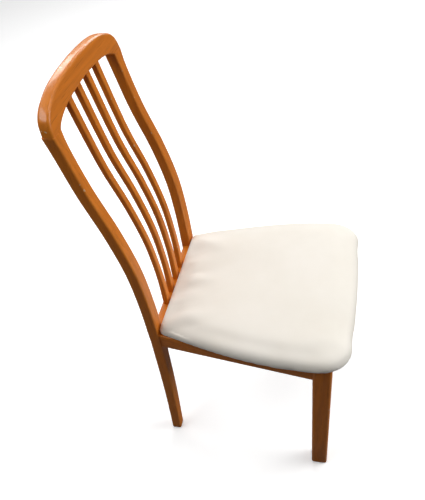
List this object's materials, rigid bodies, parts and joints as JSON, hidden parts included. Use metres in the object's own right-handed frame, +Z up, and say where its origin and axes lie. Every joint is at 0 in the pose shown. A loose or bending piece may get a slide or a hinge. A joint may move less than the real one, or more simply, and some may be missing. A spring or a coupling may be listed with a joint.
{
  "type": "dining chair",
  "caption": "High-backed wooden dining chair with an arched crest rail, curved upright slats and a padded cloth seat; it stands free on its feet.",
  "frame": {"origin": "on the floor, at the middle of the chair's bounding box", "axes": "+Z up, the sitter faces -Y, X across the seat, the chair is symmetric about X = 0"},
  "size_m": [0.4928, 0.5689, 1.014],
  "materials": {
    "oiled_teak": "oiled warm reddish-brown wood, satin",
    "block_beech": "plain sawn beech",
    "dowel_beech": "fluted beech dowel",
    "plywood": "birch plywood",
    "pad_foam": "cut polyurethane foam",
    "cover_cloth": "smooth cream upholstery cloth with a fine weave",
    "black_lining": "thin non-woven lining",
    "staple_steel": "galvanised wire",
    "screw_steel": "zinc-plated steel",
    "glide_plastic": "dark moulded plastic"
  },
  "bodies": {
    "root": {"rear_leg_left": "oiled_teak", "rear_leg_right": "oiled_teak", "front_leg_left": "oiled_teak", "front_leg_right": "oiled_teak", "crest_rail": "oiled_teak", "slat_1": "oiled_teak", "slat_2": "oiled_teak", "slat_3": "oiled_teak", "slat_4": "oiled_teak", "rear_seat_rail": "oiled_teak", "front_seat_rail": "oiled_teak", "side_rail_left": "oiled_teak", "side_rail_right": "oiled_teak", "block_front_left": "block_beech", "block_front_right": "block_beech", "block_rear_left": "block_beech", "block_rear_right": "block_beech", "seat_board": "plywood", "seat_foam": "pad_foam", "seat_cover": "cover_cloth", "dust_cloth": "black_lining", "cover_staples": "staple_steel", "seat_screws": "screw_steel", "block_screws": "screw_steel", "side_rail_dowels": "dowel_beech", "front_rail_dowels": "dowel_beech", "rear_rail_dowels": "dowel_beech", "crest_dowels": "dowel_beech", "foot_glides": "glide_plastic"}
  },
  "joints": []
}
